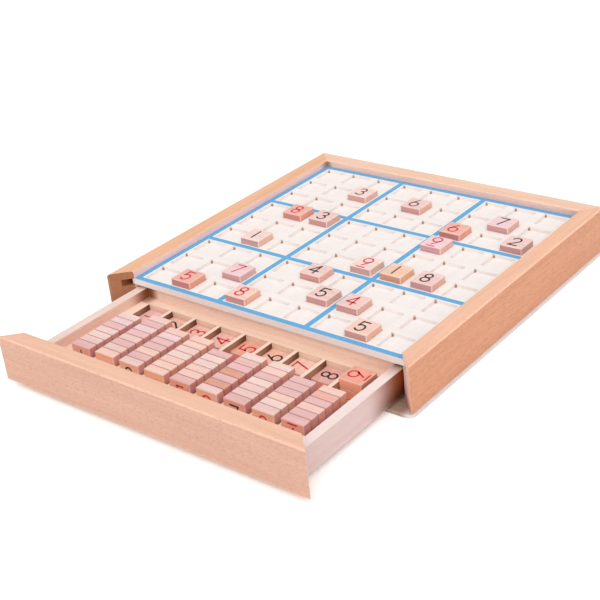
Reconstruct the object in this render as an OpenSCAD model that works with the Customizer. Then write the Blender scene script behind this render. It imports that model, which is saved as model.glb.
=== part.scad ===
// Wooden sudoku board: a mitred frame round a grid board, over a drawer of number tiles.
// The front is -Y, the right is +X and up is +Z. The origin is the centre of the underside.
// The drawer stands open, as it does while someone plays.

/* [Grid] */
// Distance from one cell to the next
cell_pitch = 24.5; // [22:0.5:30]
// Flat border between the outermost grid lines and the rails
border = 2.25; // [1:0.25:8]
// Thickness of the sheet that the cells are cut through
sheet_t = 2.2; // [1.4:0.1:4]
// Thickness of the panel under the cells
backing_t = 2.4; // [1.8:0.1:6]
// Radius of the round tool mark in the back left corner of each cell
relief_r = 0.9; // [0.6:0.1:2]

/* [Tiles] */
// Side of a square number tile
tile_w = 16.9; // [12:0.1:18.5]
// Thickness of a number tile
tile_t = 6.8; // [5:0.1:8]
// Radius of a tile's four corners
tile_corner_r = 0.8; // [0.5:0.1:3]
// Chamfer round both faces of a tile
tile_chamfer = 0.4; // [0.2:0.1:1]

/* [Rails] */
// Width of a rail, seen from above
rail_w = 13; // [10:0.5:20]
// Height of a rail
rail_h = 33.5; // [32:0.5:50]
// Chamfer along the top edges of a rail
rail_chamfer = 1; // [0.3:0.1:2]
// How far the board lies below the rails' tops
board_drop = 5.6; // [3:0.1:7]
// Depth of the groove that holds the board
groove_depth = 6.5; // [4:0.5:8]
// How far the board reaches into its groove
board_lap = 2.2; // [1.5:0.1:3.5]

/* [Base] */
// Thickness of the base panel
base_t = 2.5; // [2:0.1:6]
// How far the base panel stands out past the rails
base_overhang = 1.2; // [0:0.1:3]
// Corner radius of the base panel
base_corner_r = 5; // [1:0.5:10]

/* [Drawer] */
// Thickness of the drawer's sides and back
wall_t = 7; // [5:0.5:10]
// Thickness of the drawer's floor
floor_t = 2.4; // [1.6:0.1:4]
// How far the drawer's floor lies inside its sides
floor_inset = 2.5; // [1:0.5:6]
// How far the drawer's back stays under the board when it is open
drawer_hold = 4; // [1:0.5:20]

/* [Tray] */
// Height of the tray
tray_h = 10.8; // [7:0.1:14]
// Least width of a rib between two channels
rib_w = 2.6; // [1.5:0.1:6]
// Solid edge of the tray left of the first channel
tray_left = 8; // [4:0.1:12]
// Solid edge of the tray right of the last channel
tray_right = 6; // [4:0.1:12]
// Solid edge of the tray behind the channels
tray_back = 8.3; // [4:0.1:20]
// Solid edge of the tray in front of the channels
tray_front = 20.2; // [8:0.1:40]

/* [Clearances] */
// Gap round a tile in its cell
cell_clear = 0.3; // [0.2:0.05:1]
// Gap left of a tile in its channel
channel_clear = 0.25; // [0.2:0.05:1]
// Gap right of a tile in its channel, where a finger tip slides it along
channel_play = 2.05; // [0.2:0.05:3]
// Gap at the ends of a row of tiles
row_clear = 0.25; // [0.2:0.05:1]
// Gap under a tile, and between tiles in a row
seat_gap = 0.1; // [0.05:0.05:0.2]
// Gap above and below the board in its groove
groove_clear = 0.1; // [0.05:0.05:0.4]
// Gap between the board's front edge and the closed drawer front
board_front_gap = 0.3; // [0.2:0.1:1]
// Gap between a drawer side and a rail
drawer_side_gap = 1; // [0.5:0.1:2]
// Gap under the drawer's floor, where it slides on the base
drawer_run_gap = 0.4; // [0.3:0.1:1]
// Gap between the drawer's walls and the board above them
drawer_top_gap = 2.4; // [0.5:0.1:3]
// Gap under the drawer front
drawer_front_gap = 1.8; // [0.5:0.1:3]

/* [Hidden] */
$fn = 32;
CELLS = 9;
ROW_TILES = 8;
BEECH = [0.90, 0.68, 0.52];
PALE_PLY = [0.95, 0.89, 0.82];
WHITE_PLY = [0.97, 0.95, 0.93];
TILE_WOODS = [[0.93, 0.74, 0.66], [0.90, 0.78, 0.78], [0.95, 0.83, 0.74], [0.86, 0.64, 0.50]];

// Tiles that are on the board: column from the left, row from the front, digit
GIVENS = [
    [2, 1, 5], [4, 1, 8], [8, 1, 5],
    [3, 2, 7], [6, 2, 5], [7, 2, 4],
    [5, 3, 4],
    [2, 4, 1], [6, 4, 9], [7, 4, 1], [8, 4, 8],
    [2, 6, 8], [3, 6, 3], [7, 6, 9],
    [7, 7, 6], [9, 7, 2],
    [3, 8, 3], [5, 8, 6], [8, 8, 7],
];
// Tiles that stand in each channel, ones first
STANDING = [7, 8, 7, 7, 6, 7, 7, 6, 6];
DIGITS = [1 : CELLS];
// The channel with a second flat tile on its first one
STACKED_DIGIT = 9;

// Frame in plan, as wide as the grid needs, or the drawer's tray where that needs more
channel_w = tile_w + channel_clear + channel_play;
grid_half = CELLS * cell_pitch / 2 + border;
tray_half = (tray_left + CELLS * channel_w + (CELLS - 1) * rib_w + tray_right) / 2;
inner_half = max(grid_half, tray_half + wall_t + drawer_side_gap);
outer_half = inner_half + rail_w;
base_half = outer_half + base_overhang;

// Levels
rail_top = base_t + rail_h;
board_top = rail_top - board_drop;
cell_floor = board_top - sheet_t;
board_bottom = cell_floor - backing_t;
floor_bottom = base_t + drawer_run_gap;
drawer_floor_top = floor_bottom + floor_t;
wall_top = board_bottom - drawer_top_gap;
tray_top = drawer_floor_top + tray_h;

// Board in its groove
board_half = inner_half + board_lap;
board_front = -inner_half + board_front_gap;
cell_w = tile_w + 2 * cell_clear;

// Tray and drawer in plan, with the drawer open
tile_step = tile_t + seat_gap;
channel_l = tile_w + ROW_TILES * tile_step + 3 * row_clear;
drawer_depth = tray_front + channel_l + tray_back;
drawer_open = drawer_depth - drawer_hold;
drawer_half = inner_half - drawer_side_gap;
inside_half = drawer_half - wall_t;
front_inner = -inner_half - drawer_open;
back_inner = front_inner + drawer_depth;
channel_front = front_inner + tray_front;
channel_back = channel_front + channel_l;
channel_pitch = (2 * inside_half - tray_left - tray_right - channel_w) / (CELLS - 1);

// Cutting tools reach this far past what they cut
over = 1;

function cell_centre(n) = (n - (CELLS + 1) / 2) * cell_pitch;
function channel_side(n) = -inside_half + tray_left + (n - 1) * channel_pitch;
function row_centre(n) = channel_side(n) + channel_clear + tile_w / 2;
function given_name(g) = str("board_tile_", g[2], "_c", g[0], "_r", g[1]);
function flat_name(digit) = str("drawer_tile_", digit);
function row_name(digit) = str("tile_row_", digit);

STACKED_NAME = str(flat_name(STACKED_DIGIT), "_upper");
FRAME_NODES = ["left_rail", "right_rail", "back_rail", "grid_sheet", "backing_panel", "base_panel"];
DRAWER_NODES = [
    "drawer_front", "drawer_left_side", "drawer_right_side",
    "drawer_back", "drawer_floor", "tile_tray",
];

// A block between two corners
module block(low, high) {
    translate(low) cube(high - low);
}

// A rectangle with round corners, centred
module rounded_rectangle(size, r) {
    square([size.x - 2 * r, size.y], center = true);
    square([size.x, size.y - 2 * r], center = true);
    for (sx = [-1, 1], sy = [-1, 1])
        translate([sx * (size.x / 2 - r), sy * (size.y / 2 - r)]) circle(r = r);
}

// Section of a tile with chamfered corners. Its sides stand clear of the tile's own, and cap
// carries the chamfers on past the two faces.
function tile_section(cap) =
    let (
        half = tile_w / 2,
        c = tile_chamfer,
        side = [
            [half - c - cap, -cap],
            [half + c, 2 * c],
            [half + c, tile_t - 2 * c],
            [half - c - cap, tile_t + cap],
        ]
    )
    concat(side, [for (i = [len(side) - 1 : -1 : 0]) [-side[i].x, side[i].y]]);

// A bar of the given section along Y
module section_bar(section, length) {
    rotate([90, 0, 0])
        translate([0, 0, -length / 2])
            linear_extrude(length) polygon(section);
}

// A number tile lying on its back, with its number on top and its foot towards -Y
module number_tile(wood) {
    color(TILE_WOODS[wood % len(TILE_WOODS)])
    intersection() {
        section_bar(tile_section(0), tile_w + 2 * over);
        rotate([0, 0, 90]) section_bar(tile_section(over), tile_w + 2 * over);
        translate([0, 0, -over])
            linear_extrude(tile_t + 2 * over)
                rounded_rectangle([tile_w, tile_w], tile_corner_r);
    }
}

// Section of a rail, from its outer face inwards, with both top edges chamfered
function rail_section(bottom, groove) = concat(
    [[0, bottom], [rail_w, bottom]],
    groove,
    [
        [rail_w, rail_top - rail_chamfer],
        [rail_w - rail_chamfer, rail_top],
        [rail_chamfer, rail_top],
        [0, rail_top - rail_chamfer],
    ]
);

// Groove for the board, as part of a rail's section
board_groove = [
    [rail_w, board_bottom - groove_clear],
    [rail_w - groove_depth, board_bottom - groove_clear],
    [rail_w - groove_depth, board_top + groove_clear],
    [rail_w, board_top + groove_clear],
];

// A rail along X with its outer face at Y = 0, mitred at both ends
module mitred_rail(section) {
    color(BEECH)
    intersection() {
        rotate([90, 0, 90])
            translate([0, 0, -outer_half - over])
                linear_extrude(2 * (outer_half + over)) polygon(section);
        linear_extrude(rail_top + over)
            polygon([
                [-outer_half - over, -over],
                [outer_half + over, -over],
                [inner_half - over, rail_w + over],
                [-inner_half + over, rail_w + over],
            ]);
    }
}

module left_rail() {
    translate([-outer_half, 0, 0]) rotate(-90) mitred_rail(rail_section(base_t, board_groove));
}

module right_rail() {
    translate([outer_half, 0, 0]) rotate(90) mitred_rail(rail_section(base_t, board_groove));
}

module back_rail() {
    translate([0, outer_half, 0]) rotate(180) mitred_rail(rail_section(base_t, board_groove));
}

module base_panel() {
    color(PALE_PLY)
    linear_extrude(base_t)
        rounded_rectangle([2 * base_half, 2 * base_half], base_corner_r);
}

module backing_panel() {
    color(PALE_PLY)
    block([-board_half, board_front, board_bottom], [board_half, board_half, cell_floor]);
}

// A cell's opening with a round tool mark in its back left corner
module cell_cut() {
    corner = cell_w / 2;
    cut_h = sheet_t + 2 * over;
    translate([-corner, -corner, -over]) cube([cell_w, cell_w, cut_h]);
    translate([-corner, corner, -over]) cylinder(r = relief_r, h = cut_h);
}

module grid_sheet() {
    color(WHITE_PLY)
    difference() {
        block([-board_half, board_front, cell_floor], [board_half, board_half, board_top]);
        for (col = [1 : CELLS], row = [1 : CELLS])
            translate([cell_centre(col), cell_centre(row), cell_floor]) cell_cut();
    }
}

module drawer_front() {
    translate([0, front_inner - rail_w, 0])
        mitred_rail(rail_section(base_t + drawer_front_gap, []));
}

// A drawer side: -1 is the left one and 1 the right
module drawer_side(hand) {
    middle = hand * (drawer_half + inside_half) / 2;
    color(PALE_PLY)
    block(
        [middle - wall_t / 2, front_inner, drawer_floor_top],
        [middle + wall_t / 2, back_inner + wall_t, wall_top]
    );
}

module drawer_left_side() {
    drawer_side(-1);
}

module drawer_right_side() {
    drawer_side(1);
}

module drawer_back() {
    color(PALE_PLY)
    block(
        [-inside_half, back_inner, drawer_floor_top],
        [inside_half, back_inner + wall_t, wall_top]
    );
}

module drawer_floor() {
    half = drawer_half - floor_inset;
    color(PALE_PLY)
    block([-half, front_inner, floor_bottom], [half, back_inner + wall_t, drawer_floor_top]);
}

module tile_tray() {
    color(PALE_PLY)
    difference() {
        block([-inside_half, front_inner, drawer_floor_top], [inside_half, back_inner, tray_top]);
        for (d = DIGITS)
            translate([channel_side(d), channel_front, drawer_floor_top - over])
                cube([channel_w, channel_l, tray_h + 2 * over]);
    }
}

// A tile in its cell on the board
module board_tile(given) {
    translate([cell_centre(given[0]), cell_centre(given[1]), cell_floor + seat_gap])
        number_tile(given[0] + given[2]);
}

// A tile that lies flat at the back of its channel, with its number turned to the left
module flat_tile(digit, level) {
    back = channel_back - row_clear - tile_w / 2;
    translate([row_centre(digit), back, drawer_floor_top + seat_gap + level * tile_step])
        rotate(90) number_tile(digit + level);
}

// The tiles that stand on edge in a channel, with their numbers to the front
module tile_row(digit) {
    for (i = [1 : STANDING[digit - 1]])
        translate([
            row_centre(digit),
            channel_front + row_clear + i * tile_step,
            drawer_floor_top + seat_gap + tile_w / 2
        ])
            rotate([90, 0, 0]) number_tile(digit + i);
}

left_rail();
right_rail();
back_rail();
grid_sheet();
backing_panel();
base_panel();
drawer_front();
drawer_left_side();
drawer_right_side();
drawer_back();
drawer_floor();
tile_tray();
for (g = GIVENS)
    board_tile(g);
for (d = DIGITS) {
    flat_tile(d, 0);
    tile_row(d);
}
flat_tile(STACKED_DIGIT, 1);
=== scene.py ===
"""Looks of a wooden sudoku board: a mitred beech case, a printed grid board, a drawer and number tiles.

Lengths are in metres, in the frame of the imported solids: +Z is up, the drawer opens towards -Y and
+X is the player's right. The solids keep their shapes. This script finishes their surfaces, prints the
block lines and the digits on them, and sets up the studio.
"""
import logging
import math
from dataclasses import dataclass, field
from enum import Enum
from typing import Callable, Optional, Sequence, Union

import bpy
import numpy as np
from mathutils import Matrix, Vector


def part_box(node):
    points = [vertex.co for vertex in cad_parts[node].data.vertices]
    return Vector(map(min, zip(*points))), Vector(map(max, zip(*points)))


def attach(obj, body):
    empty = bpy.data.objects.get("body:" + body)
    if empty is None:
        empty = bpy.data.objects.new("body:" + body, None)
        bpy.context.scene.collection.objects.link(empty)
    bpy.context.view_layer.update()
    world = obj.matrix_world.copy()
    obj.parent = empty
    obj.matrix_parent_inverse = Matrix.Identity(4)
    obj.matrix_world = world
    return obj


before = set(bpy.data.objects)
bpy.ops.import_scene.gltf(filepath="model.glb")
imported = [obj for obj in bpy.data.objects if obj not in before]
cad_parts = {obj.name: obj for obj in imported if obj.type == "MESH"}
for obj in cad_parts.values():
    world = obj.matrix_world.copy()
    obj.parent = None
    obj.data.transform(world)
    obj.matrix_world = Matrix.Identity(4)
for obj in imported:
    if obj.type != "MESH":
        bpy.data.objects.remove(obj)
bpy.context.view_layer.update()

LOG = logging.getLogger("sudoku_board")
MM = 0.001

# The studio's light on a face that looks up, and a wood's two tones as shares of its mean
STUDIO_LIGHT = 1.13
LIGHT_WOOD = 1.07
DARK_WOOD = 0.89
# Cosines between which a face comes to count as looking one way, at about 41 and 18 degrees
FACING = (0.75, 0.95)
# How strongly satin wood and ink mirror the light
SPECULAR = 0.25
# Points along a digit's straight and curved strokes
LINE_POINTS = 8
ARC_POINTS = 40

Socket = bpy.types.NodeSocket
Value = Union[float, Sequence[float], Socket]
Colour = tuple[float, float, float]
Place = tuple[float, float, float]
Reach = tuple[float, float]


def srgb(red: int, green: int, blue: int) -> Colour:
    """Turns a screen colour into a linear one.

    Args:
        red, green, blue: Screen values from 0 to 255.

    Returns:
        The linear colour, by the sRGB curve: a short straight toe, then a power of 2.4.
    """
    screen = np.array([red, green, blue]) / 255.0
    linear = np.where(screen <= 0.04045, screen / 12.92, ((screen + 0.055) / 1.055) ** 2.4)
    return tuple(float(v) for v in linear)


class Grain(Enum):
    """The axis that a piece's grain runs along, as the turn that brings it to X."""

    ALONG_X = (0.0, 0.0, 0.0)
    ALONG_Y = (0.0, 0.0, -90.0)


class Side(Enum):
    """The way that a face looks. A mitre looks half way between two sides."""

    RIGHT = (1.0, 0.0, 0.0)
    FRONT = (0.0, -1.0, 0.0)
    UP = (0.0, 0.0, 1.0)
    FRONT_LEFT = (-math.sqrt(0.5), -math.sqrt(0.5), 0.0)
    FRONT_RIGHT = (math.sqrt(0.5), -math.sqrt(0.5), 0.0)


# Painted light and shade: a tint for each way a face looks, for how the studio's light falls on it
PaintedSideLight = tuple[tuple[Side, Colour], ...]


class Edge(Enum):
    """An edge of a solid's box: the axis that it bounds, and the way from it into the box."""

    LEFT = (0, 1.0)
    RIGHT = (0, -1.0)
    BACK = (1, -1.0)
    FOOT = (2, 1.0)


class Ink(Enum):
    """Printing inks on the board and the tiles."""

    BLACK = srgb(40, 32, 38)
    RED = srgb(205, 36, 54)
    FADED_RED = srgb(206, 70, 84)
    BROWN = srgb(92, 56, 56)
    BLUE = srgb(92, 165, 212)


class Tone(Enum):
    """Woods that the tiles are cut from, as screen colours of their tops in the studio's light."""

    ROSE = (243, 206, 199)
    LILAC = (244, 209, 211)
    PALE = (248, 217, 208)
    BEIGE = (250, 208, 193)
    MAUVE = (234, 188, 185)
    TERRACOTTA = (242, 184, 169)
    TAN = (226, 160, 138)
    AMBER = (249, 206, 178)

    @property
    def light(self) -> Colour:
        """The wood between its darker lines."""
        return tuple(LIGHT_WOOD * channel / STUDIO_LIGHT for channel in srgb(*self.value))

    @property
    def dark(self) -> Colour:
        """The wood's darker lines."""
        return tuple(DARK_WOOD * channel / STUDIO_LIGHT for channel in srgb(*self.value))


class NodeGraph:
    """Adds and links nodes in a shader tree."""

    def __init__(self, tree: bpy.types.NodeTree) -> None:
        """Keeps the tree that the nodes go into."""
        self.tree = tree

    def node(self, kind: str, *values: Value, **settings: object) -> bpy.types.Node:
        """Adds a node.

        Args:
            kind: Blender's type name, without the ShaderNode prefix.
            values: What its inputs are fed, in order.
            settings: Attributes to set on the node.

        Returns:
            The new node.
        """
        made = self.tree.nodes.new("ShaderNode" + kind)
        for name, value in settings.items():
            setattr(made, name, value)
        for socket, value in zip(made.inputs, values):
            self.feed(socket, value)
        return made

    def feed(self, target: Socket, value: Value) -> None:
        """Links a socket to a target, or sets the target's own value.

        Args:
            target: The input to feed.
            value: A socket, a number, a vector or a colour.
        """
        if isinstance(value, bpy.types.NodeSocket):
            self.tree.links.new(value, target)
        elif target.type == "RGBA" and len(value) == 3:
            target.default_value = (*value, 1.0)
        else:
            target.default_value = value

    def math(self, operation: str, *values: Value) -> Socket:
        """Puts up to three values through a Math node."""
        return self.node("Math", *values, operation=operation).outputs[0]

    def vector_math(self, operation: str, first: Value, second: Value) -> bpy.types.Node:
        """Puts two vectors through a Vector Math node, whose outputs are Vector and Value."""
        return self.node("VectorMath", first, second, operation=operation)

    def split(self, vector: Socket) -> tuple[Socket, Socket, Socket]:
        """Takes a vector apart into its X, Y and Z."""
        return tuple(self.node("SeparateXYZ", vector).outputs)

    def join(self, *values: Value) -> Socket:
        """Makes a vector from its X, Y and Z."""
        return self.node("CombineXYZ", *values).outputs[0]

    def ramp(self, value: Socket, low: Value, high: Value) -> Socket:
        """Maps a value smoothly from 0 at low to 1 at high."""
        return self.node("MapRange", value, low, high, interpolation_type="SMOOTHSTEP").outputs["Result"]

    def reverse(self, value: Socket) -> Socket:
        """Takes a value from 1."""
        return self.math("SUBTRACT", 1.0, value)

    def between(self, share: Socket, first: float, second: float) -> Socket:
        """Goes from a first number to a second as a share goes from 0 to 1."""
        return self.math("MULTIPLY_ADD", share, second - first, first)

    def mix(self, share: Value, first: Value, second: Value, blend: str = "MIX") -> Socket:
        """Mixes two colours.

        Args:
            share: How much of the second colour is taken.
            first, second: The colours.
            blend: How they are blended.

        Returns:
            The mixed colour.
        """
        made = self.node("Mix", data_type="RGBA", blend_type=blend)
        inputs = [socket for socket in made.inputs if socket.type == "RGBA"]
        self.feed(made.inputs[0], share)
        self.feed(inputs[0], first)
        self.feed(inputs[1], second)
        return next(socket for socket in made.outputs if socket.type == "RGBA")

    def noise(self, vector: Socket, stretch: Sequence[float], detail: float) -> Socket:
        """Reads a noise.

        Args:
            vector: Where it is read.
            stretch: What the vector is multiplied by first.
            detail: How many finer layers it has.

        Returns:
            The noise, from 0 to 1.
        """
        made = self.node("TexNoise", self.vector_math("MULTIPLY", vector, stretch).outputs["Vector"])
        made.inputs["Scale"].default_value = 1.0
        made.inputs["Detail"].default_value = detail
        return made.outputs[0]

    def facing(self, normal: Socket, side: Side) -> Socket:
        """Marks the faces that look one way, by the cosine between it and their normal."""
        cosine = self.vector_math("DOT_PRODUCT", normal, side.value).outputs["Value"]
        return self.ramp(cosine, *FACING)

    def group(self, tree: bpy.types.NodeTree, **values: Value) -> bpy.types.Node:
        """Places a node group.

        Args:
            tree: The group.
            values: Its inputs, named in lower case with underscores.

        Returns:
            The group's node.
        """
        made = self.node("Group", node_tree=tree)
        for name, value in values.items():
            self.feed(made.inputs[name.replace("_", " ").title()], value)
        return made


# Works out a mask and the colour that it lays over a wood, from the graph and the point in millimetres
Cover = Callable[[NodeGraph, Socket], tuple[Socket, Colour]]


def new_group(name: str, inputs: dict[str, str], outputs: Sequence[str]) -> tuple[NodeGraph, dict, dict]:
    """Starts a shader node group.

    Args:
        name: The group's name.
        inputs: Input names with their socket kinds, such as Float.
        outputs: Names of its outputs, which are all values.

    Returns:
        The group's graph, its input sockets by name and its output sockets by name.
    """
    tree = bpy.data.node_groups.new(name, "ShaderNodeTree")
    for socket, kind in inputs.items():
        tree.interface.new_socket(socket, in_out="INPUT", socket_type="NodeSocket" + kind)
    for socket in outputs:
        tree.interface.new_socket(socket, in_out="OUTPUT", socket_type="NodeSocketFloat")
    entry = tree.nodes.new("NodeGroupInput")
    leave = tree.nodes.new("NodeGroupOutput")
    sources = {socket: entry.outputs[socket] for socket in inputs}
    targets = {socket: leave.inputs[socket] for socket in outputs}
    return NodeGraph(tree), sources, targets


class Effects:
    """Shader node groups that several finishes share."""

    def __init__(self) -> None:
        """Builds the groups once."""
        self.wood = self._wood_grain()
        self.edges = self._edge_highlight_and_wear()
        self.reliefs = self._cell_reliefs()

    @staticmethod
    def _wood_grain() -> bpy.types.NodeTree:
        """Makes the grain of a close-grained hardwood.

        The grain runs along X, in millimetres. Streak is two layers of long soft noise. Rings are a
        sine of the depth across the grain, bent by slow noise. Flecks are short dashes, where
        stretched noise passes a threshold. End is 1 where the surface cuts across the grain.

        Returns:
            The node group.
        """
        graph, given, out = new_group(
            "wood_grain",
            {"Vector": "Vector", "Normal": "Vector"},
            ("Streak", "Rings", "Flecks", "End", "Height"),
        )
        vector = given["Vector"]
        broad = graph.ramp(graph.noise(vector, (0.010, 0.14, 0.14), 2.0), 0.30, 0.70)
        narrow = graph.ramp(graph.noise(vector, (0.016, 0.75, 0.75), 2.0), 0.30, 0.70)
        apart = graph.math("SUBTRACT", narrow, broad)
        graph.feed(out["Streak"], graph.math("MULTIPLY_ADD", apart, 0.5, broad))
        bend = graph.noise(vector, (0.007, 0.045, 0.045), 1.0)
        _, across, depth = graph.split(vector)
        phase = graph.math("MULTIPLY_ADD", across, 0.9, graph.math("MULTIPLY", depth, 1.3))
        phase = graph.math("MULTIPLY_ADD", bend, 34.0, phase)
        graph.feed(out["Rings"], graph.math("MULTIPLY_ADD", graph.math("SINE", phase), 0.5, 0.5))
        flecks = graph.ramp(graph.noise(vector, (0.3, 2.1, 2.1), 1.0), 0.52, 0.66)
        graph.feed(out["Flecks"], flecks)
        along, _, _ = graph.split(given["Normal"])
        graph.feed(out["End"], graph.ramp(graph.math("ABSOLUTE", along), *FACING))
        fine = graph.noise(vector, (0.6, 5.0, 5.0), 2.0)
        graph.feed(out["Height"], graph.math("MULTIPLY_ADD", flecks, -0.6, fine))
        return graph.tree

    @staticmethod
    def _edge_highlight_and_wear() -> bpy.types.NodeTree:
        """Marks the edges of a box-shaped piece, for a painted highlight where light catches them, with
        some wear.

        A point's distances to the nearest face along X, Y and Z are sorted. Near an edge the second
        smallest is close to zero, so the mask is 1 there and fades out over Width.

        Returns:
            The node group.
        """
        graph, given, out = new_group(
            "edge_highlight_and_wear",
            {"Vector": "Vector", "Low": "Vector", "High": "Vector", "Width": "Float"},
            ("Mask",),
        )
        to_low = graph.vector_math("SUBTRACT", given["Vector"], given["Low"]).outputs["Vector"]
        to_high = graph.vector_math("SUBTRACT", given["High"], given["Vector"]).outputs["Vector"]
        x, y, z = graph.split(graph.vector_math("MINIMUM", to_low, to_high).outputs["Vector"])
        smaller = graph.math("MINIMUM", x, y)
        larger = graph.math("MAXIMUM", x, y)
        second = graph.math("MAXIMUM", smaller, graph.math("MINIMUM", larger, z))
        rough = graph.noise(given["Vector"], (0.35, 0.35, 0.35), 2.0)
        reach = graph.math("MULTIPLY", given["Width"], graph.math("ADD", rough, 0.5))
        near = graph.ramp(graph.math("DIVIDE", second, reach), 0.35, 1.0)
        graph.feed(out["Mask"], graph.reverse(near))
        return graph.tree

    @staticmethod
    def _cell_reliefs() -> bpy.types.NodeTree:
        """Marks the drilled back left corner of each cell, in millimetres.

        What is left of X and Y over the pitch is the place within a cell, from its middle. The mask
        is 1 within Radius of the cell's corner and fades out over half a millimetre.

        Returns:
            The node group.
        """
        graph, given, out = new_group(
            "cell_reliefs",
            {"Vector": "Vector", "Pitch": "Float", "Half": "Float", "Radius": "Float"},
            ("Mask",),
        )
        x, y, _ = graph.split(given["Vector"])
        middle = graph.math("MULTIPLY", given["Pitch"], 0.5)
        squares = []
        for along, corner in ((x, graph.math("MULTIPLY", given["Half"], -1.0)), (y, given["Half"])):
            left_over = graph.math("FLOORED_MODULO", graph.math("ADD", along, middle), given["Pitch"])
            away = graph.math("SUBTRACT", graph.math("SUBTRACT", left_over, middle), corner)
            squares.append(graph.math("MULTIPLY", away, away))
        distance = graph.math("SQRT", graph.math("ADD", squares[0], squares[1]))
        outside = graph.ramp(distance, given["Radius"], graph.math("ADD", given["Radius"], 0.5))
        graph.feed(out["Mask"], graph.reverse(outside))
        return graph.tree


@dataclass(frozen=True)
class Shade:
    """Painted shade on a side of a solid where shadow falls: its tint, and the reaches that bound it.

    A reach says how many millimetres from an edge the shade starts, and how many it is full at.
    """

    node: str
    side: Side
    tint: Colour
    reaches: dict[Edge, Reach]

    def mask(self, graph: NodeGraph, place: Socket, normal: Socket) -> Socket:
        """Works out where the shade lies.

        The mask is the side's own mask times a smooth ramp along each reach. Where the start is
        further up the axis than the full end, one less the ramp between the two is taken.

        Args:
            graph: The material's graph.
            place: The point in millimetres.
            normal: The surface's normal.

        Returns:
            The mask.
        """
        low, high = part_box(self.node)
        mask = graph.facing(normal, self.side)
        parts = graph.split(place)
        for edge, reach in self.reaches.items():
            axis, way = edge.value
            origin = (low if way > 0 else high)[axis] / MM
            start, full = (origin + way * distance for distance in reach)
            along = graph.ramp(parts[axis], min(start, full), max(start, full))
            if start > full:
                along = graph.reverse(along)
            mask = graph.math("MULTIPLY", mask, along)
        return mask


# Tints and reaches that several painted shades share, and the tray's margin behind its channels in
# millimetres
NOOK_SHADE = (0.28, 0.13, 0.06)
CORNER_SHADE = (0.5, 0.4, 0.33)
BASE_RIM = (3.0, 9.0)
BY_CASE = (49.5, 13.5)
TRAY_BACK = 8.3

# Painted shade in grooves, inner corners and nooks, at a mitre's foot, inside the case, where the drawer
# meets the case, under the board's edge and in the tray's channels
PAINTED_SHADES = (
    Shade("left_rail", Side.RIGHT, (0.28, 0.13, 0.05), {Edge.LEFT: (12.0, 10.5)}),
    Shade("left_rail", Side.UP, (0.35, 0.22, 0.15), {Edge.FOOT: (30.5, 27.5)}),
    Shade("left_rail", Side.RIGHT, CORNER_SHADE, {Edge.BACK: (23.5, 13.5)}),
    Shade("right_rail", Side.FRONT_LEFT, (0.6, 0.46, 0.38), {Edge.FOOT: (11.5, 1.5)}),
    Shade("back_rail", Side.FRONT, CORNER_SHADE, {Edge.LEFT: (19.5, 13.5)}),
    Shade(
        "base_panel", Side.UP, (0.55, 0.41, 0.34),
        {Edge.LEFT: BASE_RIM, Edge.RIGHT: BASE_RIM, Edge.BACK: BASE_RIM},
    ),
    Shade("base_panel", Side.FRONT, (0.5, 0.39, 0.34), {Edge.LEFT: BASE_RIM, Edge.RIGHT: BASE_RIM}),
    Shade("drawer_right_side", Side.RIGHT, (0.34, 0.11, 0.03), {Edge.BACK: BY_CASE}),
    Shade(
        "drawer_right_side", Side.RIGHT, (0.34, 0.32, 0.3),
        {Edge.BACK: BY_CASE, Edge.FOOT: (13.0, 0.0)},
    ),
    Shade("drawer_right_side", Side.UP, (0.55, 0.4, 0.34), {Edge.BACK: (28.0, 6.0)}),
    Shade("drawer_left_side", Side.RIGHT, NOOK_SHADE, {Edge.BACK: (29.5, 9.0)}),
    Shade("drawer_back", Side.UP, (0.42, 0.3, 0.23), {Edge.BACK: (4.7, 2.7)}),
    Shade("drawer_back", Side.FRONT, NOOK_SHADE, {Edge.LEFT: (11.0, 2.0)}),
    Shade("tile_tray", Side.RIGHT, (0.36, 0.24, 0.17), {Edge.BACK: (TRAY_BACK + 15.0, TRAY_BACK)}),
    Shade("tile_tray", Side.UP, (0.5, 0.34, 0.27), {Edge.BACK: (14.0, 4.0), Edge.LEFT: (10.0, 2.0)}),
)


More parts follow.
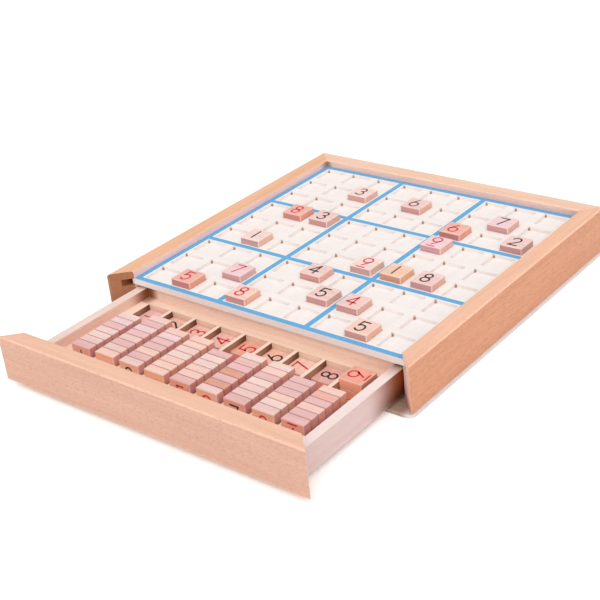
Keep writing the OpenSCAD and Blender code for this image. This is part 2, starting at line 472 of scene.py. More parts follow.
@dataclass(frozen=True)
class WoodFinish:
    """A wood: two tones that the grain mixes, flecks, end grain, a painted edge highlight with wear, and
    painted light and shade.
    """

    name: str
    light: Colour
    dark: Colour
    grain: Grain
    fleck: Colour
    side_flecks: float = 0.42
    top_flecks: float = 0.12
    streak_share: float = 0.75
    ring_share: float = 0.2
    end: Colour = srgb(190, 130, 96)
    end_share: float = 0.0
    # Painted highlight along the edges, with some wear: its colour, strength and width
    edge: Colour = srgb(244, 222, 204)
    edge_highlight_share: float = 0.08
    edge_highlight_width: float = 1.2
    # Painted light and shade on the sides: a tint for each way a face looks
    painted_side_light: PaintedSideLight = ()
    roughness: float = 0.5
    roughness_spread: float = 0.12
    bump: float = 0.12
    bump_depth: float = 0.2 * MM

    def dress(self, node: str, effects: Effects, cover: Optional[Cover] = None) -> None:
        """Gives a solid this wood.

        Args:
            node: The solid's name.
            effects: The shared node groups.
            cover: What is laid over the wood.
        """
        made, graph, shader = new_material(self.name)
        place = object_millimetres(graph)
        colour, height = self.colour(graph, effects, node, place)
        if cover:
            mask, over = cover(graph, place)
            colour = graph.mix(mask, colour, over)
        self.surface(graph, shader, colour, height)
        dress(node, made)

    def colour(
        self,
        graph: NodeGraph,
        effects: Effects,
        node: str,
        place: Socket,
        tones: Optional[tuple[Value, Value]] = None,
    ) -> tuple[Socket, Socket]:
        """Mixes the wood's colour.

        Args:
            graph: The material's graph.
            effects: The shared node groups.
            node: The solid, for its painted shades and the edges of its box.
            place: The point in millimetres.
            tones: A light and a dark colour, in place of the finish's own.

        Returns:
            The colour and the grain's height.
        """
        light, dark = tones or (self.light, self.dark)
        normal = graph.node("TexCoord").outputs["Normal"]
        grain = graph.group(
            effects.wood,
            vector=self._turned(graph, place),
            normal=self._turned(graph, normal),
        )
        share = graph.math("MULTIPLY", grain.outputs["Streak"], self.streak_share)
        share = graph.math("MULTIPLY_ADD", grain.outputs["Rings"], self.ring_share, share)
        colour = graph.mix(share, light, dark)
        on_top = graph.facing(normal, Side.UP)
        amount = graph.between(on_top, self.side_flecks, self.top_flecks)
        colour = graph.mix(graph.math("MULTIPLY", grain.outputs["Flecks"], amount), colour, self.fleck)
        colour = graph.mix(graph.math("MULTIPLY", grain.outputs["End"], self.end_share), colour, self.end)
        # Painted light and shade: each side is tinted by the way it looks
        for side, tint in self.painted_side_light:
            colour = graph.mix(graph.facing(normal, side), colour, tint, "MULTIPLY")
        # Painted shade where shadow falls on this solid
        for shade in PAINTED_SHADES:
            if shade.node == node:
                colour = graph.mix(shade.mask(graph, place, normal), colour, shade.tint, "MULTIPLY")
        # Painted highlight along the box's edges, with some wear
        if self.edge_highlight_share:
            low, high = (tuple(corner / MM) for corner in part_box(node))
            edges = graph.group(effects.edges, vector=place, low=low, high=high, width=self.edge_highlight_width)
            highlit = graph.math("MULTIPLY", edges.outputs["Mask"], self.edge_highlight_share)
            colour = graph.mix(highlit, colour, self.edge)
        return colour, grain.outputs["Height"]

    def surface(self, graph: NodeGraph, shader: bpy.types.Node, colour: Socket, height: Socket) -> None:
        """Sets the wood's colour and gloss and lets the grain roughen it.

        Args:
            graph: The material's graph.
            shader: Its shader.
            colour: The wood's colour.
            height: The grain's height.
        """
        spread = self.roughness_spread
        roughness = graph.math("MULTIPLY_ADD", height, spread, self.roughness - spread / 2)
        graph.feed(shader.inputs["Base Color"], colour)
        graph.feed(shader.inputs["Roughness"], roughness)
        shader.inputs["Specular IOR Level"].default_value = SPECULAR
        bump = graph.node("Bump")
        bump.inputs["Strength"].default_value = self.bump
        bump.inputs["Distance"].default_value = self.bump_depth
        graph.feed(bump.inputs["Height"], height)
        graph.feed(shader.inputs["Normal"], bump.outputs["Normal"])

    def _turned(self, graph: NodeGraph, vector: Socket) -> Socket:
        """Turns a vector so that the grain runs along X."""
        turn = tuple(math.radians(a) for a in self.grain.value)
        return graph.node("Mapping", vector, (0.0, 0.0, 0.0), turn, vector_type="POINT").outputs["Vector"]


def new_material(name: str) -> tuple[bpy.types.Material, NodeGraph, bpy.types.Node]:
    """Starts a material.

    Args:
        name: The material's name.

    Returns:
        The material, its graph and its shader.
    """
    made = bpy.data.materials.new(name)
    made.use_nodes = True
    shader = made.node_tree.nodes["Principled BSDF"]
    return made, NodeGraph(made.node_tree), shader


def object_millimetres(graph: NodeGraph) -> Socket:
    """Reads the point on the object, in millimetres."""
    place = graph.node("TexCoord").outputs["Object"]
    return graph.vector_math("MULTIPLY", place, (1 / MM, 1 / MM, 1 / MM)).outputs["Vector"]


def dress(node: str, material: bpy.types.Material) -> None:
    """Gives a solid its material and reports it.

    Args:
        node: The solid's name.
        material: The material.
    """
    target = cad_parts[node]
    if not target.material_slots:
        target.data.materials.append(material)
    for slot in target.material_slots:
        slot.material = material
    LOG.info("%s: %s", node, material.name)


def add_piece(
    name: str,
    points: np.ndarray,
    faces: np.ndarray,
    material: bpy.types.Material,
) -> bpy.types.Object:
    """Makes a mesh object at the origin.

    Args:
        name: The piece's name.
        points: Its points, one row of X, Y and Z each.
        faces: Its four-sided faces, one row of point numbers each.
        material: Its material.

    Returns:
        The object.
    """
    mesh = bpy.data.meshes.new(name)
    mesh.from_pydata(points.tolist(), [], faces.tolist())
    mesh.validate()
    mesh.materials.append(material)
    piece = bpy.data.objects.new(name, mesh)
    bpy.context.scene.collection.objects.link(piece)
    return piece


def grid_faces(rows: int, columns: int, wrap_rows: bool) -> np.ndarray:
    """Numbers the faces of a grid of points that closes on itself across its columns.

    Args:
        rows, columns: The grid's size.
        wrap_rows: Whether the last row joins the first.

    Returns:
        One row of four point numbers for each face.
    """
    row = np.arange(rows if wrap_rows else rows - 1)[:, None]
    column = np.arange(columns)[None, :]
    next_row = (row + 1) % rows
    next_column = (column + 1) % columns
    corners = (
        row * columns + column,
        row * columns + next_column,
        next_row * columns + next_column,
        next_row * columns + column,
    )
    return np.stack([np.broadcast_to(c, (len(row), columns)) for c in corners], axis=-1).reshape(-1, 4)


@dataclass(frozen=True)
class InkFinish:
    """A screen-printed ink, thin enough for the wood to mottle it."""

    ink: Ink
    mottle: float = 0.25
    mottle_tint: float = 0.7
    roughness: float = 0.4
    roughness_spread: float = 0.15

    def material(self) -> bpy.types.Material:
        """Makes the ink's material: its colour, darkened in small soft patches.

        Returns:
            The material.
        """
        made, graph, shader = new_material("ink_" + self.ink.name.lower())
        place = object_millimetres(graph)
        patches = graph.ramp(graph.noise(place, (0.9, 0.9, 0.9), 3.0), 0.35, 0.7)
        share = graph.math("MULTIPLY", patches, self.mottle)
        darker = tuple(self.mottle_tint * channel for channel in self.ink.value)
        roughness = graph.math("MULTIPLY_ADD", patches, self.roughness_spread, self.roughness)
        graph.feed(shader.inputs["Base Color"], graph.mix(share, self.ink.value, darker))
        graph.feed(shader.inputs["Roughness"], roughness)
        shader.inputs["Specular IOR Level"].default_value = SPECULAR
        return made


@dataclass(frozen=True)
class Stroke:
    """One stroke of a digit, in digit heights: a line, or an arc that may close on itself."""

    points: np.ndarray
    closed: bool = False

    @staticmethod
    def line(start: tuple[float, float], end: tuple[float, float]) -> "Stroke":
        """Makes a straight stroke, as its two ends mixed in equal steps."""
        share = np.linspace(0.0, 1.0, LINE_POINTS)[:, None]
        return Stroke(np.array(start) * (1 - share) + np.array(end) * share)

    @staticmethod
    def arc(
        centre: tuple[float, float],
        radii: tuple[float, float],
        start: float = 0.0,
        end: float = 360.0,
    ) -> "Stroke":
        """Makes an elliptical stroke.

        Args:
            centre: The ellipse's centre.
            radii: Its half width and half height.
            start, end: Where it starts and ends, in degrees. A full turn closes.

        Returns:
            The stroke, as the centre plus the cosine and sine of the angle times the radii.
        """
        closed = abs(end - start) >= 360.0
        angle = np.radians(np.linspace(start, end, ARC_POINTS, endpoint=not closed))
        around = np.stack([np.cos(angle), np.sin(angle)], axis=1)
        return Stroke(np.array(centre) + around * np.array(radii), closed)


DIGIT_STROKES: dict[int, list[Stroke]] = {
    1: [Stroke.line((0.0, -0.5), (0.0, 0.5))],
    2: [
        Stroke.arc((0.0, 0.22), (0.28, 0.28), 165, -40),
        Stroke.line((0.21, 0.04), (-0.28, -0.5)),
        Stroke.line((-0.28, -0.5), (0.3, -0.5)),
    ],
    3: [
        Stroke.arc((-0.02, 0.255), (0.25, 0.245), 150, -90),
        Stroke.arc((-0.02, -0.245), (0.29, 0.255), 90, -150),
    ],
    4: [
        Stroke.line((0.12, 0.5), (-0.32, -0.2)),
        Stroke.line((-0.32, -0.2), (0.32, -0.2)),
        Stroke.line((0.12, 0.5), (0.12, -0.5)),
    ],
    5: [
        Stroke.line((0.26, 0.5), (-0.2, 0.5)),
        Stroke.line((-0.2, 0.5), (-0.24, 0.02)),
        Stroke.arc((-0.01, -0.18), (0.29, 0.32), 142, -145),
    ],
    6: [
        Stroke.arc((0.0, -0.195), (0.305, 0.305)),
        Stroke.line((-0.264, -0.043), (0.05, 0.5)),
    ],
    7: [
        Stroke.line((-0.29, 0.5), (0.29, 0.5)),
        Stroke.line((0.29, 0.5), (-0.08, -0.5)),
    ],
    8: [
        Stroke.arc((0.0, 0.265), (0.235, 0.235)),
        Stroke.arc((0.0, -0.235), (0.278, 0.265)),
    ],
    9: [
        Stroke.arc((0.0, 0.275), (0.305, 0.305)),
        Stroke.line((0.264, 0.123), (-0.05, -0.42)),
        Stroke.line((-0.28, -0.66), (0.28, -0.66)),
    ],
}


@dataclass(frozen=True)
class DigitPrint:
    """How a digit is printed on a tile: its height, the line's width and the ink's thickness."""

    height: float = 10.8 * MM
    line: float = 1.35 * MM
    ink: float = 0.05 * MM
    root: float = 0.02 * MM
    flat_share: float = 0.9
    cap_start: float = 0.15
    cap_rows: int = 7

    def mesh(self, digit: int) -> tuple[np.ndarray, np.ndarray]:
        """Works out a digit's strokes on the plane Z = 0.

        Args:
            digit: From 1 to 9.

        Returns:
            The points and the faces of all its strokes.
        """
        points, faces, start = [], [], 0
        for stroke in DIGIT_STROKES[digit]:
            surface = self._stroke_surface(stroke)
            rows, columns = surface.shape[:2]
            points.append(surface.reshape(-1, 3))
            faces.append(grid_faces(rows, columns, stroke.closed) + start)
            start += rows * columns
        return np.concatenate(points), np.concatenate(faces)

    def _stroke_surface(self, stroke: Stroke) -> np.ndarray:
        """Carries a low bead of ink along a stroke.

        The bead's four corners are carried along the stroke's line, at right angles to it. An open
        stroke gets a half circle at each end: there the half width is the root of the square of its
        full value less the square of the distance past the stroke's end.

        Args:
            stroke: The stroke to print.

        Returns:
            The surface's points, in rows along the stroke and columns round the bead.
        """
        half = self.line / 2
        path = stroke.points * self.height
        if stroke.closed:
            tangent = np.roll(path, -1, axis=0) - np.roll(path, 1, axis=0)
            width = np.full(len(path), half)
        else:
            tangent = np.gradient(path, axis=0)
            past = half * np.sin(np.linspace(self.cap_start, 1.0, self.cap_rows) * math.pi / 2)
            unit = tangent / np.linalg.norm(tangent, axis=1, keepdims=True)
            before = path[0] - unit[0] * past[::-1, None]
            after = path[-1] + unit[-1] * past[:, None]
            round_end = np.sqrt(np.maximum(half**2 - past**2, 0.0))
            path = np.concatenate([before, path, after])
            first, last = (np.repeat(unit[[end]], self.cap_rows, axis=0) for end in (0, -1))
            tangent = np.concatenate([first, unit, last])
            width = np.concatenate([round_end[::-1], np.full(len(unit), half), round_end])
        unit = tangent / np.linalg.norm(tangent, axis=1, keepdims=True)
        side = np.stack([-unit[:, 1], unit[:, 0]], axis=1)
        flat = self.flat_share
        bead = np.array([(-1.0, -self.root), (-flat, self.ink), (flat, self.ink), (1.0, -self.root)])
        across = path[:, None, :] + side[:, None, :] * width[:, None, None] * bead[None, :, 0, None]
        level = np.broadcast_to(bead[None, :, 1, None], (*across.shape[:2], 1))
        return np.concatenate([across, level], axis=2)


BEECH_FLECK = srgb(184, 128, 98)

# The woods of the case; their side tints are painted light and shade, with a lit mitre and a shaded one
# among them
CASE_WOODS = {
    "left_rail": WoodFinish(
        "beech_left_rail", srgb(233, 182, 148), srgb(217, 165, 129), Grain.ALONG_Y, BEECH_FLECK,
        side_flecks=0.2,
        painted_side_light=((Side.RIGHT, (1.15, 1.38, 2.1)), (Side.FRONT_RIGHT, (0.49, 0.37, 0.29))),
    ),
    "right_rail": WoodFinish(
        "beech_right_rail", srgb(236, 187, 159), srgb(221, 171, 142), Grain.ALONG_Y, BEECH_FLECK,
        painted_side_light=((Side.RIGHT, (0.76, 0.6, 0.49)), (Side.FRONT_LEFT, (1.42, 1.65, 2.0))),
    ),
    "back_rail": WoodFinish(
        "beech_back_rail", srgb(236, 198, 174), srgb(221, 182, 157), Grain.ALONG_X, BEECH_FLECK,
        side_flecks=0.2, painted_side_light=((Side.FRONT, (1.0, 1.04, 1.22)),),
    ),
    "drawer_front": WoodFinish(
        "beech_drawer_front", srgb(233, 188, 163), srgb(218, 172, 146), Grain.ALONG_X, BEECH_FLECK,
        painted_side_light=((Side.FRONT, (0.8, 0.765, 0.79)),),
    ),
    "base_panel": WoodFinish(
        "base_plywood", srgb(211, 202, 200), srgb(202, 190, 187), Grain.ALONG_X, srgb(186, 166, 156),
        side_flecks=0.25, end=srgb(204, 191, 188), end_share=0.4, roughness=0.6,
    ),
}


@dataclass
class Case:
    """The mitred beech frame, with the drawer's front that closes it, and the base."""

    effects: Effects

    def dress(self) -> None:
        """Finishes the rails in lacquered beech and the base in pale plywood."""
        for node, finish in CASE_WOODS.items():
            finish.dress(node, self.effects)


@dataclass
class Board:
    """The grid sheet, its backing and the printed block lines."""

    effects: Effects
    pitch: float = 24.5 * MM
    cell_half: float = 8.75 * MM
    relief_radius: float = 1.0 * MM
    relief_height: float = 1.2 * MM
    line_width: float = 4.1 * MM
    ink: float = 0.04 * MM
    root: float = 0.02 * MM
    corner_brown: Colour = srgb(172, 130, 98)
    corner_brown_share: float = 0.85

    def dress(self) -> None:
        """Finishes the sheet and its backing, with dark drilled corners, and prints the lines."""
        light, dark = srgb(234, 227, 224), srgb(229, 219, 214)
        sheet = WoodFinish(
            "sheet_basswood", light, dark, Grain.ALONG_X, srgb(218, 200, 190),
            side_flecks=0.1, roughness=0.6, edge_highlight_share=0.0,
        )
        backing = WoodFinish(
            "backing_basswood", light, dark, Grain.ALONG_Y, srgb(214, 192, 180),
            side_flecks=0.2, roughness=0.6, edge_highlight_share=0.0,
        )
        sheet.dress("grid_sheet", self.effects, self._drilled)
        backing.dress("backing_panel", self.effects, self._drilled)
        self._print_lines()

    def _drilled(self, graph: NodeGraph, place: Socket) -> tuple[Socket, Colour]:
        """Marks the drilled corners of the cells, darkened brown and most so at the cells' floor.

        Args:
            graph: The material's graph.
            place: The point in millimetres.

        Returns:
            The mask and the corners' brown.
        """
        drilled = graph.group(
            self.effects.reliefs,
            vector=place,
            pitch=self.pitch / MM,
            half=self.cell_half / MM,
            radius=self.relief_radius / MM,
        )
        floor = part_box("backing_panel")[1].z
        _, _, z = graph.split(place)
        above = graph.ramp(z, floor / MM, (floor + 2 * self.relief_height) / MM)
        share = graph.between(above, self.corner_brown_share, 0.0)
        return graph.math("MULTIPLY", drilled.outputs["Mask"], share), self.corner_brown

    def _print_lines(self) -> None:
        """Prints the lines between the blocks of nine cells and round the board.

        The lines' sides cut X and Y into strips. A strip is inked where a line runs along it, so the
        print is every cell of the strips' grid in which either strip is inked, and its thickness is
        the ink's.
        """
        low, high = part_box("left_rail")[1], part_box("right_rail")[0]
        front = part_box("grid_sheet")[0].y
        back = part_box("back_rail")[0].y
        block = 1.5 * self.pitch
        half = self.line_width / 2
        inner = [-block - half, -block + half, block - half, block + half]
        x = np.array([low.x, low.x + self.line_width, *inner, high.x - self.line_width, high.x])
        y = np.array([front, front + self.line_width, *inner, back - self.line_width, back])
        across, along = np.meshgrid(x, y, indexing="ij")
        level = np.full(across.size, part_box("grid_sheet")[1].z - self.root)
        points = np.stack([across.ravel(), along.ravel(), level], axis=1)
        inked = np.arange(len(x) - 1) % 2 == 0
        column, row = np.nonzero(inked[:, None] | inked[None, :])
        corner = column * len(y) + row
        faces = np.stack([corner, corner + len(y), corner + len(y) + 1, corner + 1], axis=1)
        lines = add_piece("block_lines", points, faces, InkFinish(Ink.BLUE).material())
        thick = lines.modifiers.new("ink", "SOLIDIFY")
        thick.thickness = self.root + self.ink
        thick.offset = 1.0
        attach(lines, "case")
        LOG.info("block_lines: %d cells of ink", len(faces))


DRAWER_FLECK = srgb(196, 160, 142)

# The drawer's woods; their side tints are painted light and shade
DRAWER_WOODS = {
    "drawer_right_side": WoodFinish(
        "pale_wood_right", srgb(234, 216, 211), srgb(226, 206, 201), Grain.ALONG_Y, DRAWER_FLECK,
        side_flecks=0.2, painted_side_light=((Side.RIGHT, (0.78, 0.69, 0.69)),), roughness=0.55,
    ),
    "drawer_left_side": WoodFinish(
        "pale_wood_left", srgb(232, 208, 199), srgb(222, 194, 183), Grain.ALONG_Y, DRAWER_FLECK,
        side_flecks=0.25, painted_side_light=((Side.RIGHT, (1.09, 0.96, 0.87)),), roughness=0.55,
    ),
    "drawer_back": WoodFinish(
        "pale_wood_back", srgb(244, 216, 200), srgb(234, 200, 182), Grain.ALONG_X, DRAWER_FLECK,
        side_flecks=0.2, roughness=0.55,
    ),
    "drawer_floor": WoodFinish(
        "floor_plywood", srgb(226, 192, 172), srgb(212, 172, 150), Grain.ALONG_X, DRAWER_FLECK,
        side_flecks=0.25, roughness=0.6,
    ),
}
# The tray's wood; its tint on the channels' walls that look right is painted shade
TRAY_WOOD = WoodFinish(
    "tray_wood", srgb(243, 215, 196), srgb(230, 194, 170), Grain.ALONG_X, srgb(196, 150, 124),
    side_flecks=0.2, painted_side_light=((Side.RIGHT, (0.5, 0.36, 0.28)),), roughness=0.6, edge_highlight_share=0.0,
)


@dataclass
class Drawer:
    """The drawer's walls and floor and the tray in it."""

    effects: Effects
    rib: Colour = srgb(238, 207, 190)
    rib_fade: Reach = (-0.4 * MM, 0.2 * MM)

    def dress(self) -> None:
        """Finishes the walls and the floor in pale wood and the tray in sanded beech."""
        for node, finish in DRAWER_WOODS.items():
            finish.dress(node, self.effects)
        TRAY_WOOD.dress("tile_tray", self.effects, self._ribs)

    def _ribs(self, graph: NodeGraph, place: Socket) -> tuple[Socket, Colour]:
        """Marks the tops of the ribs between the channels, which are paler.

        Args:
            graph: The material's graph.
            place: The point in millimetres.

        Returns:
            The mask and the ribs' colour.
        """
        _, y, _ = graph.split(place)
        channel_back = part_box("tile_tray")[1].y - TRAY_BACK * MM
        ahead = graph.reverse(graph.ramp(y, *((channel_back + past) / MM for past in self.rib_fade)))
        on_top = graph.facing(graph.node("TexCoord").outputs["Normal"], Side.UP)
        return graph.math("MULTIPLY", ahead, on_top), self.rib


@dataclass(frozen=True)
class BoardTile:
    """A tile on the board: its digit, cell, wood and ink."""

    digit: int
    column: int
    row: int
    tone: Tone
    ink: Ink

    @property
    def node(self) -> str:
        """The solid's name."""
        return f"board_tile_{self.digit}_c{self.column}_r{self.row}"


@dataclass(frozen=True)
class DrawerRow:
    """A channel's tiles: the flat one's wood and ink, and the standing ones' woods, from the front.

    The front tile's digit stands upright, stands on its head, or faces away where it has no ink.
    """

    digit: int
    flat_tone: Tone
    flat_ink: Ink
    standing: tuple[Tone, ...]
    front_ink: Optional[Ink] = None
    front_inverted: bool = False

    @property
    def node(self) -> str:
        """The name of the standing tiles' solids."""
        return f"tile_row_{self.digit}"


ROSE, LILAC, PALE, BEIGE, MAUVE, TERRACOTTA, TAN, AMBER = Tone

BOARD_TILES = (
    BoardTile(3, 3, 8, PALE, Ink.BROWN),
    BoardTile(6, 5, 8, ROSE, Ink.BROWN),
    BoardTile(7, 8, 8, LILAC, Ink.BLACK),
    BoardTile(6, 7, 7, TERRACOTTA, Ink.RED),
    BoardTile(2, 9, 7, ROSE, Ink.BLACK),
    BoardTile(9, 7, 6, LILAC, Ink.FADED_RED),
    BoardTile(8, 2, 6, TERRACOTTA, Ink.RED),
    BoardTile(3, 3, 6, ROSE, Ink.BLACK),
    BoardTile(1, 2, 4, PALE, Ink.BLACK),
    BoardTile(9, 6, 4, PALE, Ink.FADED_RED),
    BoardTile(1, 7, 4, AMBER, Ink.BROWN),
    BoardTile(8, 8, 4, ROSE, Ink.BLACK),
    BoardTile(4, 5, 3, ROSE, Ink.BLACK),
    BoardTile(7, 3, 2, LILAC, Ink.FADED_RED),
    BoardTile(5, 6, 2, ROSE, Ink.BLACK),
    BoardTile(4, 7, 2, ROSE, Ink.RED),
    BoardTile(5, 2, 1, TERRACOTTA, Ink.RED),
    BoardTile(8, 4, 1, BEIGE, Ink.RED),
    BoardTile(5, 8, 1, BEIGE, Ink.BLACK),
)

DRAWER_ROWS = (
    DrawerRow(1, LILAC, Ink.RED, (MAUVE, ROSE, PALE, PALE, MAUVE, LILAC, PALE), Ink.BROWN),
    DrawerRow(2, ROSE, Ink.BLACK, (BEIGE, ROSE, MAUVE, ROSE, MAUVE, LILAC, MAUVE, ROSE)),
    DrawerRow(3, ROSE, Ink.RED, (ROSE, MAUVE, BEIGE, MAUVE, MAUVE, LILAC, BEIGE), Ink.BLACK),
    DrawerRow(4, ROSE, Ink.RED, (BEIGE, BEIGE, BEIGE, PALE, ROSE, BEIGE, BEIGE)),
    DrawerRow(5, TERRACOTTA, Ink.RED, (MAUVE, BEIGE, BEIGE, PALE, PALE, MAUVE), Ink.RED),
    DrawerRow(6, BEIGE, Ink.BLACK, (ROSE, TAN, MAUVE, TAN, MAUVE, MAUVE, PALE), Ink.RED, True),
    DrawerRow(7, PALE, Ink.RED, (MAUVE, ROSE, ROSE, PALE, MAUVE, BEIGE, PALE), Ink.BLACK),
    DrawerRow(8, MAUVE, Ink.BLACK, (ROSE, PALE, BEIGE, MAUVE, MAUVE, MAUVE), Ink.RED),
    DrawerRow(9, TERRACOTTA, Ink.RED, (MAUVE, MAUVE, BEIGE, MAUVE, TERRACOTTA, BEIGE), Ink.RED, True),
)


@dataclass
class Tiles:
    """The number tiles on the board and in the drawer."""

    effects: Effects
    # How strongly the flat tiles' edges get a painted highlight, with some wear
    rubbed_and_highlit: float = 0.2
    step: float = 6.9 * MM
    thickness: float = 6.8 * MM
    grain_step: float = 37.0 * MM
    board_shift: Place = (-0.6 * MM, 0.0, 0.0)
    front_shift: Place = (0.0, 0.0, -0.5 * MM)
    top_seam: float = 0.4 * MM
    top_seam_share: float = 0.13
    side_seam: float = 0.9 * MM
    side_seam_share: float = 0.6
    first_seam: Reach = (0.5 * MM, 1.5 * MM)
    seam_colour: Colour = srgb(112, 66, 56)
    # Painted light and shade on the tiles' faces: on the board, lying in the drawer and standing in rows
    on_board: PaintedSideLight = ((Side.FRONT, (0.72, 0.53, 0.53)), (Side.RIGHT, (0.96, 0.78, 0.67)))
    in_drawer: PaintedSideLight = (
        (Side.UP, (1.0, 0.84, 0.75)), (Side.FRONT, (1.4, 1.1, 0.85)), (Side.RIGHT, (0.75, 0.63, 0.5)),
    )
    standing: PaintedSideLight = ((Side.FRONT, (1.05, 0.87, 0.67)), (Side.RIGHT, (0.88, 0.61, 0.56)))
    digits: DigitPrint = DigitPrint()
    inks: dict[Ink, bpy.types.Material] = field(default_factory=dict)

    def dress(self) -> None:
        """Finishes every tile and prints its digit."""
        for tile in BOARD_TILES:
            self._dress_tile(tile.node, tile.tone, Grain.ALONG_X, self.on_board)
            self._print(tile.node, tile.digit, tile.ink, Matrix.Identity(3), self.board_shift)
        sideways = Matrix.Rotation(math.radians(90), 3, "Z")
        forwards = Matrix.Rotation(math.radians(90), 3, "X")
        inverted = Matrix.Rotation(math.pi, 3, "Y") @ forwards
        for row in DRAWER_ROWS:
            name = f"drawer_tile_{row.digit}"
            for node in (name, name + "_upper"):
                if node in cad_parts:
                    self._dress_tile(node, row.flat_tone, Grain.ALONG_Y, self.in_drawer)
                    self._print(node, row.digit, row.flat_ink, sideways)
            self._dress_row(row)
            if row.front_ink:
                turn = inverted if row.front_inverted else forwards
                self._print(row.node, row.digit, row.front_ink, turn, self.front_shift)

    @staticmethod
    def _finish(name: str, tone: Tone, grain: Grain, painted_side_light: PaintedSideLight, edge_highlight_share: float) -> WoodFinish:
        """Works out the finish of a tile's wood.

        Args:
            name: The material's name.
            tone: The wood.
            grain: The way of its grain.
            painted_side_light: Painted light and shade on its sides, a tint for each way a face looks.
            edge_highlight_share: How strongly its edges are painted pale, a painted highlight with some
                wear.

        Returns:
            The finish.
        """
        return WoodFinish(
            name, tone.light, tone.dark, grain, tone.dark,
            side_flecks=0.5, top_flecks=0.4, ring_share=0.35, end=tone.dark, end_share=0.3,
            edge_highlight_share=edge_highlight_share, edge_highlight_width=0.9, painted_side_light=painted_side_light, roughness=0.55,
        )

    def _dress_tile(self, node: str, tone: Tone, grain: Grain, painted_side_light: PaintedSideLight) -> None:
        """Finishes a tile that lies flat, its edges painted pale as a highlight with some wear."""
        self._finish("wood_" + node, tone, grain, painted_side_light, self.rubbed_and_highlit).dress(node, self.effects)

    def _dress_row(self, row: DrawerRow) -> None:
        """Finishes a row of standing tiles, each in its own wood.

        The distance from the row's front over the step between tiles gives the tile's number. It
        picks the tile's two tones, and what is left over is the place within the tile. The tiles'
        rims are dark where they meet.

        Args:
            row: The row.
        """
        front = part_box(row.node)[0].y
        made, graph, shader = new_material("wood_" + row.node)
        x, y, z = graph.split(object_millimetres(graph))
        step = self.step / MM
        ahead = graph.math("DIVIDE", graph.math("SUBTRACT", y, front / MM), step)
        number = graph.math("FLOOR", ahead)
        within = graph.math("MULTIPLY", graph.math("SUBTRACT", ahead, number), step)
        share = graph.math("DIVIDE", graph.math("ADD", number, 0.5), float(len(row.standing)))
        tones = (
            self._tone_steps(graph, share, [tone.light for tone in row.standing]),
            self._tone_steps(graph, share, [tone.dark for tone in row.standing]),
        )
        finish = self._finish(made.name, row.standing[0], Grain.ALONG_X, self.standing, 0.0)
        figure = graph.join(x, graph.math("MULTIPLY_ADD", number, self.grain_step / MM, within), z)
        colour, height = finish.colour(graph, self.effects, row.node, figure, tones)
        rim = graph.math("MINIMUM", within, graph.math("SUBTRACT", self.thickness / MM, within))
        behind = graph.ramp(y, *((front + past) / MM for past in self.first_seam))
        on_top = graph.facing(graph.node("TexCoord").outputs["Normal"], Side.UP)
        reach = graph.between(on_top, self.side_seam / MM, self.top_seam / MM)
        strength = graph.between(on_top, self.side_seam_share, self.top_seam_share)
        dark = graph.reverse(graph.ramp(rim, 0.0, reach))
        dark = graph.math("MULTIPLY", graph.math("MULTIPLY", dark, behind), strength)
        finish.surface(graph, shader, graph.mix(dark, colour, self.seam_colour), height)
        dress(row.node, made)

    @staticmethod
    def _tone_steps(graph: NodeGraph, share: Socket, tones: Sequence[Colour]) -> Socket:
        """Picks the tone of the tile at a share of the row's length.

        Args:
            graph: The material's graph.
            share: The share, from 0 at the front.
            tones: The tiles' tones.

        Returns:
            The colour.
        """
        made = graph.node("ValToRGB")
        steps = made.color_ramp
        steps.interpolation = "CONSTANT"
        while len(steps.elements) < len(tones):
            steps.elements.new(0.5)
        for number, tone in enumerate(tones):
            steps.elements[number].position = number / len(tones)
            steps.elements[number].color = (*tone, 1.0)
        graph.feed(made.inputs["Fac"], share)
        return made.outputs["Color"]

    def _print(
        self,
        node: str,
        digit: int,
        ink: Ink,
        turn: Matrix,
        shift: Place = (0.0, 0.0, 0.0),
    ) -> None:
        """Prints a digit on the face of a tile that its turn brings it to.

        The face looks the way that the turn takes +Z. Its middle is the middle of the solid's box plus
        half the box's size along that way.

        Args:
            node: The solid that carries it, and the body of the same name that it rides on.
            digit: From 1 to 9.
            ink: Its ink.
            turn: The turn from a tile that lies on its back, its number up and its foot to -Y.
            shift: How far it is printed from the face's middle, along X, Y and Z.
        """
        low, high = (np.array(corner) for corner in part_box(node))
        turned = np.array(turn)
        middle = (low + high) / 2 + turned[:, 2] * (high - low) / 2 + np.array(shift)
        points, faces = self.digits.mesh(digit)
        if ink not in self.inks:
            self.inks[ink] = InkFinish(ink).material()
        piece = add_piece(node + "_digit", points @ turned.T + middle, faces, self.inks[ink])
        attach(piece, node)
        LOG.info("%s: %s", piece.name, ink.name.lower())


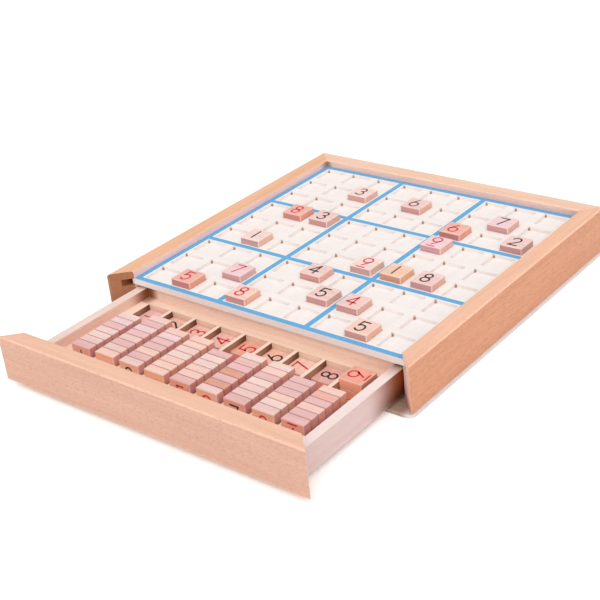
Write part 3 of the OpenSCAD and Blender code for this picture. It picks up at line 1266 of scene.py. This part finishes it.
@dataclass
class Studio:
    """The pale floor, the soft light from above and the camera."""

    camera_place: Vector = Vector((485.3, -630.9, 411.8)) * MM
    azimuth: float = 40.83
    elevation: float = 27.75
    roll: float = 6.01
    lens: float = 74.9
    sensor: float = 36.0
    sky: float = 0.45
    overhead: float = 1.3
    overhead_angle: float = 95.0
    fill: float = 1.9
    fill_angle: float = 70.0
    fill_height: float = 35.0
    glow: float = 0.12
    floor_size: float = 12.0

    def build(self) -> None:
        """Makes the studio."""
        self._floor()
        self._lights()
        self._camera()

    def _floor(self) -> None:
        """Lays a white floor under the board that glows a little, as a backlit table does."""
        half = self.floor_size / 2
        x, y = np.meshgrid((-half, half), (-half, half))
        points = np.stack([x.ravel(), y.ravel(), np.zeros(x.size)], axis=1)
        made, graph, shader = new_material("white_floor")
        patches = graph.noise(graph.node("TexCoord").outputs["Object"], (3.0, 3.0, 3.0), 2.0)
        white = graph.mix(patches, srgb(250, 250, 250), srgb(246, 246, 246))
        graph.feed(shader.inputs["Base Color"], white)
        shader.inputs["Roughness"].default_value = 0.9
        shader.inputs["Specular IOR Level"].default_value = 0.0
        shader.inputs["Emission Color"].default_value = (1.0, 1.0, 1.0, 1.0)
        shader.inputs["Emission Strength"].default_value = self.glow
        add_piece("floor", points, np.array([(0, 1, 3, 2)]), made)

    def _lights(self) -> None:
        """Hangs a soft light overhead and one behind the camera, under a sky that is seen as white."""
        world = bpy.data.worlds.new("white_studio")
        bpy.context.scene.world = world
        world.use_nodes = True
        graph = NodeGraph(world.node_tree)
        background = world.node_tree.nodes["Background"]
        background.inputs["Color"].default_value = (1.0, 1.0, 1.0, 1.0)
        seen = graph.node("LightPath").outputs["Is Camera Ray"]
        graph.feed(background.inputs["Strength"], graph.between(seen, self.sky, 1.0))
        self._soft_light("overhead", self.overhead, self.overhead_angle, 90.0)
        self._soft_light("fill", self.fill, self.fill_angle, self.fill_height)

    def _soft_light(self, name: str, strength: float, angle: float, height: float) -> None:
        """Adds a distant light on the camera's side.

        Args:
            name: The light's name.
            strength: Its strength, in watts per square metre.
            angle: How wide it is, in degrees.
            height: How high it stands, in degrees above the floor.
        """
        light = bpy.data.lights.new(name, "SUN")
        light.energy = strength
        light.angle = math.radians(angle)
        lamp = bpy.data.objects.new(name, light)
        lamp.rotation_euler = (math.radians(90.0 - height), 0.0, math.radians(self.azimuth))
        bpy.context.scene.collection.objects.link(lamp)

    def _camera(self) -> None:
        """Sets the camera where the photograph was taken from, rolled as it was."""
        turn, tilt, roll = (math.radians(a) for a in (self.azimuth, self.elevation, self.roll))
        ahead = Vector(
            (-math.sin(turn) * math.cos(tilt), math.cos(turn) * math.cos(tilt), -math.sin(tilt))
        )
        level = ahead.cross(Vector((0, 0, 1))).normalized()
        upright = level.cross(ahead)
        up = upright * math.cos(roll) + level * math.sin(roll)
        right = ahead.cross(up)
        lens = bpy.data.cameras.new("camera")
        lens.lens = self.lens
        lens.sensor_width = self.sensor
        lens.clip_start = 0.01
        camera = bpy.data.objects.new("camera", lens)
        rotation = Matrix((right, up, -ahead)).transposed()
        camera.matrix_world = Matrix.Translation(self.camera_place) @ rotation.to_4x4()
        bpy.context.scene.collection.objects.link(camera)
        bpy.context.scene.camera = camera


def main() -> None:
    """Dresses the board and sets up the studio."""
    logging.basicConfig(level=logging.INFO, format="%(name)s: %(message)s")
    bpy.context.scene.view_settings.view_transform = "Standard"
    effects = Effects()
    Studio().build()
    for assembly in (Case(effects), Board(effects), Drawer(effects), Tiles(effects)):
        assembly.dress()


if __name__ == "__main__":
    main()
